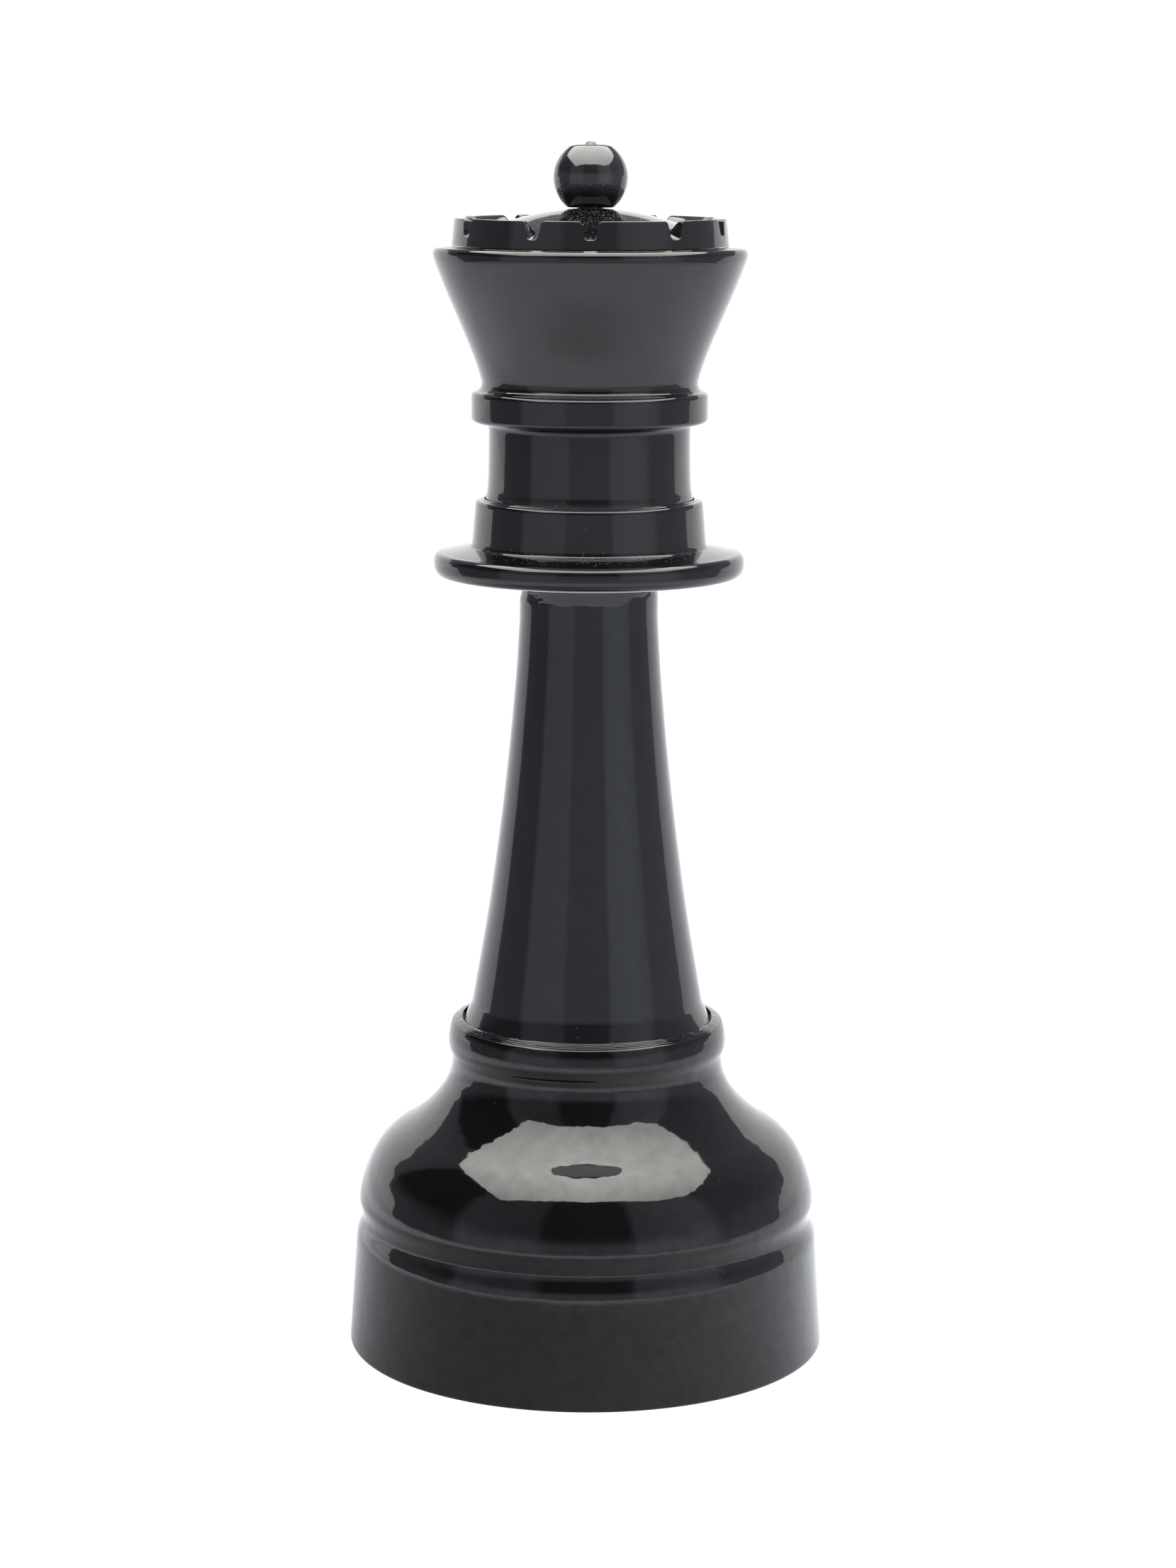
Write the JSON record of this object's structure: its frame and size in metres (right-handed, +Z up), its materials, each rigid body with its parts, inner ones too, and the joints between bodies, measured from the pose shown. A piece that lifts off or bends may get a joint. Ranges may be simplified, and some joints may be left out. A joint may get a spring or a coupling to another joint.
{
  "type": "giant chess piece",
  "caption": "Giant lawn-chess queen: sand-weighted bell base with filler plug, concave column, flanged collar, flared cup, notched coronet and ball. Parts lift apart.",
  "frame": {"origin": "on the floor at the middle of the base", "axes": "+Z up along the piece's axis; -Y towards the viewer of the front, where the first notch of the coronet is"},
  "size_m": [0.23, 0.23, 0.5772],
  "materials": {
    "black_body": "glossy black moulded polyethylene with a slightly wavy surface",
    "plug_plastic": "satin black moulded plastic",
    "gasket_rubber": "matt black rubber",
    "sand": "dry pale sand"
  },
  "bodies": {
    "base": {"base_shell": "black_body", "sand_ballast": "sand"},
    "gasket": {"plug_gasket": "gasket_rubber"},
    "plug": {"filler_plug": "plug_plastic"},
    "stem": {"stem_column": "black_body"},
    "collar": {"crown_collar": "black_body"},
    "cup": {"crown_cup": "black_body", "coronet_cap": "black_body", "ball_finial": "black_body"}
  },
  "joints": [
    {"name": "stem_lift", "type": "slide", "parent": "base", "child": "stem", "axis": [0, 0, 1], "range_m": [0, 0.045]},
    {"name": "collar_lift", "type": "slide", "parent": "stem", "child": "collar", "axis": [0, 0, 1], "range_m": [0, 0.032]},
    {"name": "cup_lift", "type": "slide", "parent": "collar", "child": "cup", "axis": [0, 0, 1], "range_m": [0, 0.026]},
    {"name": "plug_travel", "type": "slide", "parent": "base", "child": "gasket", "axis": [0, 0, -1], "range_m": [0, 0.006]},
    {"name": "plug_turn", "type": "hinge", "parent": "gasket", "child": "plug", "pos_m": [0, 0, 0], "axis": [0, 0, -1], "range_deg": [0, 540]}
  ],
  "couplings": [
    {"joint": "plug_travel", "follows": "plug_turn", "m_per_rad": 0.00063662}
  ]
}
